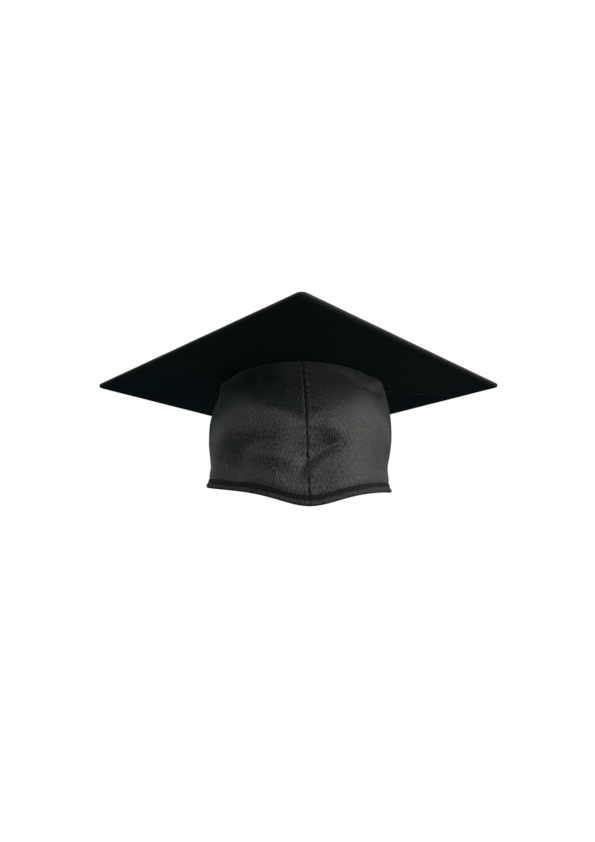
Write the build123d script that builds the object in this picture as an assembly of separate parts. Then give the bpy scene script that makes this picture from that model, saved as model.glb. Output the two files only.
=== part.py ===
from build123d import *
from math import atan2, ceil, cos, degrees, exp, hypot, radians, sin
import os

# A soft graduation cap: a square board in a sewn cloth cover, a four-panel cloth crown under it,
# and a covered button on top that a tassel loops round.
# Frame, in millimetres: +Z up, the wearer's face towards -Y, the board's corners on the X and Y
# axes, Z zero at the lowest point of the hem, and the origin below the middle of the board.

# --- Board -------------------------------------------------------------------------------------
BOARD_SIDE = 244.0          # over the cover
BOARD_CORNER = 4.0          # corner radius over the cover
BOARD_UNDERSIDE = 117.0     # height of the underside above the lowest point of the hem
CORE_THICK = 1.6            # chipboard
COVER_THICK = 0.5           # one layer of the board's cover
FLAP_OVERLAP = 14.0         # how far the back under-panel laps over the front one
FLAP_CLEAR_RADIUS = 66.0    # the lap stops here, where the crown is sewn on
CORE_UNDERSIDE = BOARD_UNDERSIDE + COVER_THICK
CORE_TOP = CORE_UNDERSIDE + CORE_THICK
BOARD_TOP = CORE_TOP + COVER_THICK

# --- Crown, as the outer face of its cloth -----------------------------------------------------
TOP_RADIUS = 61.0           # where the panels meet the board
SIDE_SWELL = 15.2           # how far the sides swell out below the board
SIDE_SWELL_DEPTH = 11.0     # how quickly they do
FRONT_SWELL = 35.0
FRONT_SWELL_DEPTH = 30.0
BACK_SWELL = 38.0
BACK_SWELL_DEPTH = 26.0
SIDE_WAIST = 3.6            # how far the sides draw in above the hem
SIDE_WAIST_AT = 76.0        # depth of that waist below the board
SIDE_WAIST_SPREAD = 18.0
BACK_TUCK = 5.0             # how far the elastic draws the back in
BACK_TUCK_AT = 80.0
BACK_TUCK_SPREAD = 18.0
PANEL_THICK = 0.8
SEAM_ANGLE = 96.0           # the side seams, measured from the front

# --- Hem ---------------------------------------------------------------------------------------
HEM_RISE = 28.0             # how much higher the hem is at the back than at the front, less the point
HEM_POINT = 15.0            # depth of the rounded point over the forehead
HEM_POINT_ANGLE = 20.0      # half-width of that point, in degrees round the head
BAND_HEIGHT = 7.0           # binding round the front edge
BAND_THICK = 0.9            # one leg of the binding
GAP = 0.1                   # between cloth layers that lie on each other
SWEATBAND_HEIGHT = 30.0
SWEATBAND_THICK = 0.6
CASING_HEIGHT = 12.0        # cloth tube round the back elastic
CASING_OUTSIDE = 0.7        # how far the tube stands outside and inside the panel's outer face
CASING_INSIDE = -2.2
CASING_WALL = 0.45
CASING_CLEARANCE = 0.4      # between the tube and the panels it slides under
CASING_END_ANGLE = 0.7      # the same at the tube's ends, in degrees
TACK_ANGLE = 2.5            # where the bar tacks hold the elastic, in degrees from the tube's ends
TACK_WIDTH_ANGLE = 1.0
TACK_HEIGHT = 9.0
TACK_THICK = 0.6

# --- Inside the crown --------------------------------------------------------------------------
TIP_THICK = 0.6
TAPE_WIDTH = 10.0
TAPE_THICK = 0.5
LABEL_WIDTH = 34.0
LABEL_HEIGHT = 18.0
LABEL_THICK = 0.3
LABEL_TOP_DEPTH = 30.0      # below the board

# --- Button ------------------------------------------------------------------------------------
BUTTON_RADIUS = 8.0
BUTTON_WALL = 3.0           # height of the straight side
BUTTON_DOME = 3.2           # rise of the dome over it
BUTTON_RIM_FILLET = 1.0
BUTTON_CLOTH = 0.4
SHELL_THICK = 0.5
NECK_RADIUS = 2.6           # the tassel's cord lies round this neck
NECK_HEIGHT = 2.0
PLATE_THICK = 0.55
WASHER_RADIUS = 5.0
WASHER_THICK = 0.5
TURN_CLEARANCE = 0.3        # between the washer and the neck that turns on it
HOLE_RADIUS = 1.85          # hole through the board and the washer
LEG_WIDTH = 3.0             # each of the two prongs
LEG_THICK = 0.4
LEG_REACH = 13.0            # how far a bent prong reaches under the core
RIVET_RADIUS = 3.0
RECESS_RADIUS = 15.0        # hollow pressed into the core for the prongs
RECESS_DEPTH = 1.0

STATION_ANGLE = 8.0         # spacing of the sections that a wall is lofted through
PARTS = "parts"


def side_radius(depth):
    """Half-width of the crown at a depth below the board."""
    swell = SIDE_SWELL * (1 - exp(-depth / SIDE_SWELL_DEPTH))
    waist = SIDE_WAIST * exp(-(((depth - SIDE_WAIST_AT) / SIDE_WAIST_SPREAD) ** 2))
    return TOP_RADIUS + swell - waist


def front_radius(depth):
    return TOP_RADIUS + FRONT_SWELL * (1 - exp(-depth / FRONT_SWELL_DEPTH))


def back_radius(depth):
    tuck = BACK_TUCK * exp(-(((depth - BACK_TUCK_AT) / BACK_TUCK_SPREAD) ** 2))
    return TOP_RADIUS + BACK_SWELL * (1 - exp(-depth / BACK_SWELL_DEPTH)) - tuck


def crown_radius(angle, depth):
    """Radius of the cloth's outer face, at an angle in degrees from the front."""
    turn = radians(angle)
    long_radius = front_radius(depth) if cos(turn) > 0 else back_radius(depth)
    return 1 / hypot(sin(turn) / side_radius(depth), cos(turn) / long_radius)


def hem_height(angle):
    """Height of the hem's lower edge: a rounded point at the front, rising to the back."""
    rise = HEM_RISE * (1 - cos(radians(angle))) / 2
    point = HEM_POINT * (1 - 1 / (1 + (angle / HEM_POINT_ANGLE) ** 2))
    return rise + point


def wall_point(angle, height, offset):
    """A point off the crown's outer face by offset, in the upright plane at that angle."""
    depth = BOARD_UNDERSIDE - height
    step = 0.5
    slope = (crown_radius(angle, depth + step) - crown_radius(angle, depth - step)) / (2 * step)
    length = hypot(1, slope)
    radius = crown_radius(angle, depth) + offset / length
    height = min(height + offset * slope / length, BOARD_UNDERSIDE)
    turn = radians(angle)
    return Vector(radius * sin(turn), -radius * cos(turn), height)


def wall_section(angle, low, high, outside, inside):
    """The closed outline of a wall in the upright plane at one angle."""
    count = 5 if high(angle) - low(angle) < 20 else 15
    heights = [high(angle) + (low(angle) - high(angle)) * (i / (count - 1)) for i in range(count)]
    outer = [wall_point(angle, h, outside) for h in heights]
    inner = [wall_point(angle, h, inside) for h in reversed(heights)]
    return Wire([
        Edge.make_spline(outer),
        Edge.make_line(outer[-1], inner[0]),
        Edge.make_spline(inner),
        Edge.make_line(inner[-1], outer[0]),
    ])


def wall(start, end, low, high, outside, inside):
    """A curved wall that follows the crown from one angle to another, between two edges.

    low and high give the edges' heights at an angle. outside and inside are offsets from the
    outer face of the crown's cloth."""
    count = max(3, ceil(abs(end - start) / STATION_ANGLE) + 1)
    angles = [start + (end - start) * i / (count - 1) for i in range(count)]
    return Solid.make_loft([wall_section(a, low, high, outside, inside) for a in angles])


def to_right(shape):
    """A piece of the wearer's left, on the right."""
    return mirror(shape, about=Plane.YZ)


def above_hem(rise):
    return lambda angle: hem_height(abs(angle)) + rise


def level(height):
    return lambda angle: height


def board_slab(side, corner, bottom, top):
    """A square slab with rounded corners, turned so that a corner faces the front."""
    square = Rot(0, 0, 45) * RectangleRounded(side, side, corner)
    return extrude(Pos(0, 0, bottom) * square, top - bottom)


def disc(radius, bottom, top):
    return Pos(0, 0, bottom) * Cylinder(radius, top - bottom, align=(Align.CENTER, Align.CENTER, Align.MIN))


# --- Board pieces ------------------------------------------------------------------------------
def board_core():
    """Chipboard square with a centre hole and a shallow hollow for the button's prongs."""
    slab = board_slab(
        BOARD_SIDE - 2 * COVER_THICK, BOARD_CORNER - COVER_THICK, CORE_UNDERSIDE, CORE_TOP
    )
    recess = disc(RECESS_RADIUS, CORE_UNDERSIDE, CORE_UNDERSIDE + RECESS_DEPTH)
    return slab - recess - disc(HOLE_RADIUS, CORE_UNDERSIDE, CORE_TOP)


def board_cover_top():
    """Cloth over the top of the board and down its four edges."""
    outer = board_slab(BOARD_SIDE, BOARD_CORNER, BOARD_UNDERSIDE, BOARD_TOP)
    inner = board_slab(
        BOARD_SIDE - 2 * COVER_THICK, BOARD_CORNER - COVER_THICK, BOARD_UNDERSIDE, CORE_TOP
    )
    return outer - inner - disc(HOLE_RADIUS, CORE_TOP, BOARD_TOP)


def flap_region(shift, bottom, top):
    """Everything in front of the flap's bowed edge, moved back by shift."""
    reach = BOARD_SIDE
    half = [(0, 4), (62, 7), (122, 16.5), (reach, 19)]
    edge = Spline([(-x, y + shift) for x, y in reversed(half[1:])] + [(x, y + shift) for x, y in half])
    rim = Polyline(edge @ 1, (reach, -reach), (-reach, -reach), edge @ 0)
    return extrude(Pos(0, 0, bottom) * make_face([edge, rim]), top - bottom)


def under_slab(bottom, top):
    return board_slab(BOARD_SIDE - 2 * COVER_THICK, BOARD_CORNER - COVER_THICK, bottom, top)


def board_cover_under_front():
    """Front part of the cloth under the board."""
    flat = under_slab(BOARD_UNDERSIDE, CORE_UNDERSIDE)
    return flat & flap_region(FLAP_OVERLAP, BOARD_UNDERSIDE, CORE_UNDERSIDE)


def board_cover_under_back():
    """Back part of the cloth under the board. Its folded front edge laps under the front part."""
    flat = under_slab(BOARD_UNDERSIDE, CORE_UNDERSIDE)
    flat -= flap_region(FLAP_OVERLAP, BOARD_UNDERSIDE, CORE_UNDERSIDE)
    low = BOARD_UNDERSIDE - COVER_THICK
    lap = under_slab(low, BOARD_UNDERSIDE)
    lap -= flap_region(0, low, BOARD_UNDERSIDE)
    lap &= flap_region(FLAP_OVERLAP + 2, low, BOARD_UNDERSIDE)
    return flat + (lap - disc(FLAP_CLEAR_RADIUS, low, BOARD_UNDERSIDE))


# --- Crown pieces, on the wearer's left, which is +X ---------------------------------------------
def crown_front():
    return wall(0, SEAM_ANGLE, above_hem(BAND_THICK + GAP), level(BOARD_UNDERSIDE), 0, -PANEL_THICK)


def crown_back():
    edge = above_hem(CASING_HEIGHT + CASING_CLEARANCE)
    return wall(SEAM_ANGLE, 180, edge, level(BOARD_UNDERSIDE), 0, -PANEL_THICK)


def crown_tip():
    """Round cloth that closes the top of the crown, sewn against the board's cover."""
    radius = TOP_RADIUS - PANEL_THICK - 2 * GAP
    return disc(radius, BOARD_UNDERSIDE - TIP_THICK, BOARD_UNDERSIDE)


def seam_tape(angle, bottom):
    """Tape over a seam inside the crown, from the tip down to bottom."""
    half = degrees(atan2(TAPE_WIDTH / 2, crown_radius(angle, 50)))
    top = level(BOARD_UNDERSIDE - TIP_THICK - 2.0)
    outside = -PANEL_THICK - GAP
    return wall(angle - half, angle + half, bottom, top, outside, outside - TAPE_THICK)


def both_halves(piece):
    """One piece made of a left half and its mirror image, joined where they meet."""
    return piece + to_right(piece)


def hem_band():
    """Binding folded round the front edge: a channel that the front panels' edge sits in."""
    end = SEAM_ANGLE
    thick = PANEL_THICK + 2 * GAP
    block = wall(0, end, above_hem(0), above_hem(BAND_HEIGHT), GAP + BAND_THICK, GAP - thick - BAND_THICK)
    slot = wall(0, end, above_hem(BAND_THICK), above_hem(BAND_HEIGHT + 3), GAP, GAP - thick)
    return both_halves(block - slot)


def sweatband():
    """Smooth inner band round the front, above the binding's inner leg."""
    outside = -PANEL_THICK - 2 * GAP - TAPE_THICK
    low = above_hem(BAND_HEIGHT + GAP)
    high = above_hem(SWEATBAND_HEIGHT)
    half = wall(0, SEAM_ANGLE - 5, low, high, outside, outside - SWEATBAND_THICK)
    return both_halves(half)


def casing_ends():
    return SEAM_ANGLE + CASING_END_ANGLE, 360 - SEAM_ANGLE - CASING_END_ANGLE


def back_hem(rise):
    """Heights above the back hem, for angles that run on past 180 degrees."""
    return lambda angle: hem_height(angle if angle <= 180 else 360 - angle) + rise


def elastic_casing():
    """Cloth tube round the back edge, open at its two ends."""
    start, end = casing_ends()
    outer = wall(start, end, back_hem(0), back_hem(CASING_HEIGHT), CASING_OUTSIDE, CASING_INSIDE)
    hollow = wall(
        start - 1, end + 1,
        back_hem(CASING_WALL), back_hem(CASING_HEIGHT - CASING_WALL),
        CASING_OUTSIDE - CASING_WALL, CASING_INSIDE + CASING_WALL,
    )
    return outer - hollow


def back_elastic():
    """Braided elastic inside the tube."""
    start, end = casing_ends()
    margin = CASING_WALL + 0.3
    return wall(
        start + 0.5, end - 0.5,
        back_hem(margin), back_hem(CASING_HEIGHT - margin),
        CASING_OUTSIDE - margin, CASING_INSIDE + margin,
    )


def elastic_tack():
    """Bar tack through the tube near one end, as it stands out on the tube's outside."""
    start = casing_ends()[0] + TACK_ANGLE
    low = back_hem((CASING_HEIGHT - TACK_HEIGHT) / 2)
    high = back_hem((CASING_HEIGHT + TACK_HEIGHT) / 2)
    outside = CASING_OUTSIDE + GAP
    return wall(start, start + TACK_WIDTH_ANGLE, low, high, outside + TACK_THICK, outside)


def care_label():
    """Blank woven label over the back seam tape."""
    half = degrees(atan2(LABEL_WIDTH / 2, back_radius(LABEL_TOP_DEPTH)))
    top = BOARD_UNDERSIDE - LABEL_TOP_DEPTH
    outside = -PANEL_THICK - TAPE_THICK - 3 * GAP
    return wall(180 - half, 180 + half, level(top - LABEL_HEIGHT), level(top), outside, outside - LABEL_THICK)


# --- Button pieces -----------------------------------------------------------------------------
NECK_BOTTOM = BOARD_TOP + WASHER_THICK + TURN_CLEARANCE
BUTTON_BOTTOM = NECK_BOTTOM + NECK_HEIGHT


def dome(radius, bottom, straight, rise):
    """A short cylinder with a domed top and a rounded rim."""
    rim = (radius, bottom + straight)
    crest = (0, bottom + straight + rise)
    arc = TangentArc(crest, rim, tangent=(1, 0))
    sides = Polyline(crest, (0, bottom), (radius, bottom), rim)
    profile = make_face([arc, sides])
    corner = profile.vertices().sort_by_distance(rim)[0]
    return revolve(Plane.XZ * fillet(corner, BUTTON_RIM_FILLET), Axis.Z)


def button_cloth():
    """Cloth over the button's shell, turned in under its rim."""
    inner_radius = BUTTON_RADIUS - BUTTON_CLOTH
    outer = dome(BUTTON_RADIUS, BUTTON_BOTTOM, BUTTON_WALL, BUTTON_DOME)
    inner = dome(inner_radius, BUTTON_BOTTOM + BUTTON_CLOTH, BUTTON_WALL - BUTTON_CLOTH, BUTTON_DOME - BUTTON_CLOTH)
    opening = disc(inner_radius - 1.5, BUTTON_BOTTOM, BUTTON_BOTTOM + BUTTON_CLOTH)
    return outer - inner - opening


def button_shell():
    """Pressed metal dome inside the cloth."""
    bottom = BUTTON_BOTTOM + BUTTON_CLOTH + GAP
    radius = BUTTON_RADIUS - BUTTON_CLOTH - GAP
    straight = BUTTON_WALL - BUTTON_CLOTH - 2 * GAP
    outer = dome(radius, bottom, straight, BUTTON_DOME - BUTTON_CLOTH - GAP)
    inner = dome(radius - SHELL_THICK, bottom, straight - SHELL_THICK, BUTTON_DOME - BUTTON_CLOTH - GAP)
    return outer - inner


def button_back_plate():
    """Closing plate with the neck that the tassel's cord lies round."""
    lower = disc(BUTTON_RADIUS - BUTTON_CLOTH - 1.5 - GAP, BUTTON_BOTTOM, BUTTON_BOTTOM + PLATE_THICK)
    flange_radius = BUTTON_RADIUS - BUTTON_CLOTH - SHELL_THICK - 2 * GAP
    flange = disc(flange_radius, BUTTON_BOTTOM + PLATE_THICK, BUTTON_BOTTOM + 2 * PLATE_THICK)
    neck = disc(NECK_RADIUS, NECK_BOTTOM, BUTTON_BOTTOM)
    return lower + flange + neck - disc(HOLE_RADIUS, NECK_BOTTOM, BUTTON_BOTTOM + 2 * PLATE_THICK)


def button_rivet():
    """Split rivet: a head inside the button and two prongs bent out under the core."""
    head_bottom = BUTTON_BOTTOM + 2 * PLATE_THICK
    head = disc(RIVET_RADIUS, head_bottom, head_bottom + PLATE_THICK)
    prong_bottom = CORE_UNDERSIDE + (RECESS_DEPTH - LEG_THICK) / 2
    lowest = (Align.MIN, Align.CENTER, Align.MIN)
    shank = Pos(0, 0, prong_bottom) * Box(LEG_THICK, LEG_WIDTH, head_bottom - prong_bottom, align=lowest)
    foot = Pos(0, 0, prong_bottom) * Box(LEG_REACH, LEG_WIDTH, LEG_THICK, align=lowest)
    prong = shank + foot
    return head + prong + Rot(0, 0, 180) * prong


def button_washer():
    """Washer that spreads the button's pull on the cloth."""
    ring = disc(WASHER_RADIUS, BOARD_TOP, BOARD_TOP + WASHER_THICK)
    return ring - disc(HOLE_RADIUS, BOARD_TOP, BOARD_TOP + WASHER_THICK)


def pieces():
    """Every piece of the cap by name."""
    found = {
        "board_core": board_core(),
        "board_cover_top": board_cover_top(),
        "board_cover_under_front": board_cover_under_front(),
        "board_cover_under_back": board_cover_under_back(),
        "crown_tip": crown_tip(),
        "hem_band": hem_band(),
        "sweatband": sweatband(),
        "elastic_casing": elastic_casing(),
        "back_elastic": back_elastic(),
        "care_label": care_label(),
        "button_cloth": button_cloth(),
        "button_shell": button_shell(),
        "button_back_plate": button_back_plate(),
        "button_rivet": button_rivet(),
        "button_washer": button_washer(),
        "front_seam_tape": seam_tape(0, above_hem(BAND_HEIGHT + 1)),
        "back_seam_tape": seam_tape(180, back_hem(CASING_HEIGHT + 3)),
    }
    paired = {
        "crown_front": crown_front(),
        "crown_back": crown_back(),
        "side_seam_tape": seam_tape(SEAM_ANGLE, above_hem(CASING_HEIGHT + 3)),
        "elastic_tack": elastic_tack(),
    }
    for name, shape in paired.items():
        found[name + "_left"] = shape
        found[name + "_right"] = to_right(shape)
    return found


os.makedirs(PARTS, exist_ok=True)
for name, shape in pieces().items():
    export_step(shape, f"{PARTS}/{name}.step")
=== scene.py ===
import math
import bmesh
import bpy
import numpy as np
from mathutils import Matrix, Vector


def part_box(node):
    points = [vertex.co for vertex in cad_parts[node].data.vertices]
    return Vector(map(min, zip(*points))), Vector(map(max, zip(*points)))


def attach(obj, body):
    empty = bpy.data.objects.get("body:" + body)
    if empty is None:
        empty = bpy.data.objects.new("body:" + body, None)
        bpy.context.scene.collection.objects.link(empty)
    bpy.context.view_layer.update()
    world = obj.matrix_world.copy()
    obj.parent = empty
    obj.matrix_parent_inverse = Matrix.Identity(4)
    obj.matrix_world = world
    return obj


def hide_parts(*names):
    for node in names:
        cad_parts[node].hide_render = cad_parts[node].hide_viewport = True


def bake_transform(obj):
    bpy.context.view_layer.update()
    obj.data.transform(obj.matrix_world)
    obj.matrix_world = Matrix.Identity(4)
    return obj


# Looks of the graduation cap around its CAD frame. Lengths in the shape code are in millimetres,
# and MM turns them into the scene's metres. Angles go round the head in degrees from the front,
# positive towards +X, which is the wearer's left.
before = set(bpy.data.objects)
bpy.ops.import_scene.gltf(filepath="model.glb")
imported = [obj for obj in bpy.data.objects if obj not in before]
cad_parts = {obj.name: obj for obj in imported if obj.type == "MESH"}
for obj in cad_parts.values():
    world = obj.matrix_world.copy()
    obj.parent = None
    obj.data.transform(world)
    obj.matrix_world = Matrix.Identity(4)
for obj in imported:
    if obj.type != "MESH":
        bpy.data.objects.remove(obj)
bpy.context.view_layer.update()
MM = 0.001

# ---------------------------------------------------------------------------------- sizes
UNDERSIDE = 117.0           # the board's underside
TOP_RADIUS = 61.0           # where the crown meets the board
# How far the crown swells out below the board, and how deep under it the swell is mostly reached.
SIDE_SWELL, SIDE_SWELL_DEPTH = 15.2, 11.0
FRONT_SWELL, FRONT_SWELL_DEPTH = 35.0, 30.0
BACK_SWELL, BACK_SWELL_DEPTH = 38.0, 26.0
# Where the crown draws in again: how far, at what depth, and over what height.
SIDE_WAIST, SIDE_WAIST_AT, SIDE_WAIST_SPREAD = 3.6, 76.0, 18.0
BACK_TUCK, BACK_TUCK_AT, BACK_TUCK_SPREAD = 5.0, 80.0, 18.0
HEM_RISE, HEM_POINT, HEM_POINT_ANGLE = 28.0, 15.0, 20.0
HEM_TILT = 1.2              # the hem hangs lower on the wearer's left
CROWN_SHIFT = 0.85          # the crown is sewn on this far towards the wearer's left
PANEL = 0.8                 # thickness of the crown's cloth
SEAM = 96.0                 # angle of the side seams
CROWN_TURN = 2.8            # the crown is sewn on a little turned
CROWN_TWIST = 2.0           # but less so at its top
BOARD_SIDE, BOARD_CORNER, BOARD_THICK = 244.6, 5.0, 2.6
ROOT2 = math.sqrt(2)
COVER = 0.45                # thickness of the board's cloth
BINDING = 7.0               # height of the front hem's binding, seen from outside
CASING = 12.0               # height of the elastic's casing
MEAN_RADIUS = 80.0          # turns an angle round the crown into a length of cloth
CREASE_RADIUS = 82.0        # the same for the creases, which are mostly on the fuller front


# ------------------------------------------------------------------------------ mesh tools
def make_object(name, verts, faces, uvs=None):
    """A mesh object from points in millimetres. uvs has one pair, in metres, for each point."""
    mesh = bpy.data.meshes.new(name)
    mesh.from_pydata((np.asarray(verts) * MM).tolist(), [], faces)
    if uvs is not None:
        layer = mesh.uv_layers.new(name="cloth")
        index = np.zeros(len(mesh.loops), np.int32)
        mesh.loops.foreach_get("vertex_index", index)
        layer.data.foreach_set("uv", np.asarray(uvs, np.float32)[index].ravel())
    mesh.update()
    piece = bpy.data.objects.new(name, mesh)
    bpy.context.scene.collection.objects.link(piece)
    tidy_normals(mesh)
    mesh.polygons.foreach_set("use_smooth", [True] * len(mesh.polygons))
    return piece


def tidy_normals(mesh):
    """Joins points that coincide and turns every face outwards."""
    work = bmesh.new()
    work.from_mesh(mesh)
    bmesh.ops.remove_doubles(work, verts=work.verts, dist=1e-6)
    bmesh.ops.recalc_face_normals(work, faces=work.faces)
    work.to_mesh(mesh)
    work.free()


def grid_faces(rows, cols, start=0, wrap=False):
    """Quads over a grid of points that is stored row by row."""
    faces = []
    last = cols if wrap else cols - 1
    for i in range(rows - 1):
        for j in range(last):
            a = start + i * cols + j
            b = start + i * cols + (j + 1) % cols
            faces.append((a, b, b + cols, a + cols))
    return faces


def shell(name, outer, inner, uv):
    """A closed sheet between two grids of points of the same size."""
    rows, cols = outer.shape[:2]
    count = rows * cols
    faces = grid_faces(rows, cols) + grid_faces(rows, cols, count)
    edge = list(range(cols))
    edge += [i * cols + cols - 1 for i in range(1, rows)]
    edge += [(rows - 1) * cols + j for j in range(cols - 2, -1, -1)]
    edge += [i * cols for i in range(rows - 2, 0, -1)]
    for a, b in zip(edge, edge[1:] + edge[:1]):
        faces.append((a, b, count + b, count + a))
    verts = np.concatenate([outer.reshape(-1, 3), inner.reshape(-1, 3)])
    flat = uv.reshape(-1, 2)
    return make_object(name, verts, faces, np.concatenate([flat, flat]))


def capped_faces(rows, cols, start=0):
    """Faces of a tube of rings that begins at the point start, closed at both ends."""
    faces = grid_faces(rows, cols, start, wrap=True)
    faces.append(tuple(start + j for j in range(cols)))
    faces.append(tuple(start + (rows - 1) * cols + j for j in range(cols - 1, -1, -1)))
    return faces


def tube(name, rings, uv):
    """A closed solid through rings of points: rings[i] is one cross-section."""
    rows, cols = rings.shape[:2]
    return make_object(name, rings.reshape(-1, 3), capped_faces(rows, cols), uv.reshape(-1, 2))


def stitches(name, points, outward, length, width, proud):
    """A row of thread stitches that follows points, each a small capsule lying on the cloth."""
    points = np.asarray(points, float)
    outward = np.asarray(outward, float)
    step = np.linalg.norm(np.diff(points, axis=0), axis=1)
    along = np.concatenate([[0], np.cumsum(step)])
    pitch = length * 1.35
    verts, faces = [], []
    sides, rings = 6, 6
    for k in range(int(along[-1] / pitch)):
        middle = (k + 0.5) * pitch
        where = np.array([[np.interp(middle + s * length / 2, along, points[:, c]) for c in range(3)]
                          for s in (-1, 1)])
        up = np.array([np.interp(middle, along, outward[:, c]) for c in range(3)])
        up /= np.linalg.norm(up)
        run = where[1] - where[0]
        side = np.cross(run / np.linalg.norm(run), up)
        base = len(verts)
        for i in range(rings):
            t = i / (rings - 1)
            girth = width / 2 * math.sqrt(max(1 - (2 * t - 1) ** 4, 0.02))
            lift = proud * (1 - (2 * t - 1) ** 2) - width * 0.25
            for j in range(sides):
                turn = 2 * math.pi * j / sides
                spot = where[0] + run * t + side * (girth * math.cos(turn))
                verts.append(spot + up * (lift + girth * math.sin(turn)))
        faces += capped_faces(rings, sides, base)
    return make_object(name, np.array(verts), faces)


# ----------------------------------------------------------------------------- crown shape
def side_radius(depth):
    """The crown's half-width, at a depth under the board."""
    waist = SIDE_WAIST * np.exp(-(((depth - SIDE_WAIST_AT) / SIDE_WAIST_SPREAD) ** 2))
    return TOP_RADIUS + SIDE_SWELL * (1 - np.exp(-depth / SIDE_SWELL_DEPTH)) - waist


def crown_radius(angle, depth):
    """Distance from the middle to the crown's smooth face: an oval, longer at the front and back."""
    turn = np.radians(angle)
    front = TOP_RADIUS + FRONT_SWELL * (1 - np.exp(-depth / FRONT_SWELL_DEPTH))
    tuck = BACK_TUCK * np.exp(-(((depth - BACK_TUCK_AT) / BACK_TUCK_SPREAD) ** 2))
    back = TOP_RADIUS + BACK_SWELL * (1 - np.exp(-depth / BACK_SWELL_DEPTH)) - tuck
    long_radius = np.where(np.cos(turn) > 0, front, back)
    return 1 / np.hypot(np.sin(turn) / side_radius(depth), np.cos(turn) / long_radius)


def hem_height(angle):
    """Height of the hem's lower edge, at an angle from -180 to 180."""
    rise = HEM_RISE * (1 - np.cos(np.radians(angle))) / 2
    point = HEM_POINT * (1 - 1 / (1 + (angle / HEM_POINT_ANGLE) ** 2))
    lean = np.sin(np.radians(angle))
    return rise + point - HEM_TILT * lean * np.abs(lean)


def around(angle):
    """The same angle between -180 and 180."""
    return (np.asarray(angle, float) + 180) % 360 - 180


def overhang(angle, height):
    """The hem swings a little towards the wearer's right, which moves both sides one way."""
    side = np.sin(np.radians(angle))
    return -(2.5 * side**3 + 0.9 * side**2) * np.exp(-(((height - 28) / 24) ** 2))


def crown_points(angle, height, offset):
    """Points off the crown's smooth outer face by offset, turned as the crown is sewn on."""
    angle, height, offset = np.broadcast_arrays(
        np.asarray(angle, float), np.asarray(height, float), np.asarray(offset, float))
    depth = np.maximum(UNDERSIDE - height, 0)
    offset = offset + overhang(angle, height)
    slope = crown_radius(angle, depth + 0.5) - crown_radius(angle, depth - 0.5)
    length = np.hypot(1, slope)
    radius = crown_radius(angle, depth) + offset / length
    rise = np.minimum(height + offset * slope / length, UNDERSIDE)
    turn = np.radians(angle + CROWN_TURN - CROWN_TWIST * (np.maximum(height, 0) / UNDERSIDE) ** 1.5)
    return np.stack([radius * np.sin(turn) + CROWN_SHIFT, -radius * np.cos(turn), rise], axis=-1)


def across(angle, middle, height):
    """Distance round the crown, in millimetres, from the angle middle."""
    return np.radians(around(angle - middle)) * crown_radius(angle, np.maximum(UNDERSIDE - height, 1))


def dent(angle, height, at, size, tilt, depth):
    """A soft oval dent, or a swelling where depth is negative. size is half its length and width."""
    x = across(angle, at[0], height)
    y = height - at[1]
    c, s = math.cos(math.radians(tilt)), math.sin(math.radians(tilt))
    long_way, short_way = (x * c + y * s) / size[0], (y * c - x * s) / size[1]
    return -depth * np.exp(-(long_way**2) - short_way**2)


def crease(angle, height, start, end, widths, depth):
    """A fold along a line, with its own width on the left and on the right of the way along it."""
    x, y = across(angle, start[0], height), height - start[1]
    run = np.array([math.radians(end[0] - start[0]) * CREASE_RADIUS, end[1] - start[1]])
    length = np.hypot(*run)
    run = run / length
    along = x * run[0] + y * run[1]
    off = y * run[0] - x * run[1]
    bend = 1.6 * np.sin(along / 9.0 + start[0])
    off = (off + bend) / np.where(off + bend > 0, widths[0], widths[1])
    ends = 1 / (1 + np.exp(-along / 3.5)) / (1 + np.exp((along - length) / 3.5))
    return -depth * np.exp(-np.abs(off) ** 1.7) * ends


# Dents: where (angle, height), half-length and half-width, tilt from level, depth.
DENTS = [
    ((-37, 34), (15, 12), -10, 6.8),       # the large hollow over the wearer's right temple
    ((-15, 36), (15, 5.5), -14, -2.4),     # the ridge beside it
    ((-7, 20), (13, 7), -38, 1.3),
    ((-40, 60), (16, 10), 0, -3.4),
    ((-60, 80), (12, 10), 20, -0.8),
    ((36, 46), (30, 26), 0, -1.0),         # the full left side
    ((60, 60), (24, 20), 0, -0.6),
    ((-31, 103), (13, 8), -50, 4.6),       # the shoulders fall in behind the temples
    ((-80, 100), (26, 12), 0, 2.8),
    ((-66, 109), (12, 5), -25, -2.6),
    ((40, 103), (15, 7.5), -44, 4.2),
    ((61, 107), (11, 5.5), -22, -4.4),
    ((14, 100), (16, 11), 0, 1.8),
    ((9, 61), (10, 7), 30, -1.9),          # the cloth over the slanting fold beside the front seam
    ((130, 78), (26, 15), 30, 2.2),
    ((-125, 82), (24, 13), -25, 2.6),
    ((160, 90), (20, 10), -20, 1.6),
    ((-158, 73), (18, 9), 30, 1.5),
    ((98, 90), (14, 9), 50, 1.6),
    ((84, 50), (18, 7), -60, 1.2),
]
# Creases: from, to, widths to the left and the right of the way, depth.
CREASES = [
    ((-52, 40), (-36, 27), (3.5, 3), 1.6),
    ((-34, 45), (-12, 49), (5.5, 5), 2.4),
    ((-3, 25), (14.5, 48), (10.5, 4.5), 8.2),
    ((2, 30), (6.5, 24.5), (2.8, 3), 0.9),
    ((3.5, 8), (9, 21), (3.2, 3), 1.3),
    ((29, 67), (35, 62), (2.4, 2.6), 0.9),
    ((41, 38), (47, 27), (2.4, 2.6), 0.9),
    ((-66, 92), (-54, 99), (3, 3), 1.1),
    ((38, 110), (54, 95), (4.5, 5), 2.8),
    ((52, 101), (66, 104), (3, 3), 1.0),
    ((112, 59), (126, 86), (5, 6), 1.9),
    ((-108, 57), (-120, 90), (5, 6), 2.0),
    ((150, 70), (140, 98), (4.5, 5), 1.7),
    ((-146, 68), (-150, 96), (4.5, 5), 1.5),
]


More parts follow.
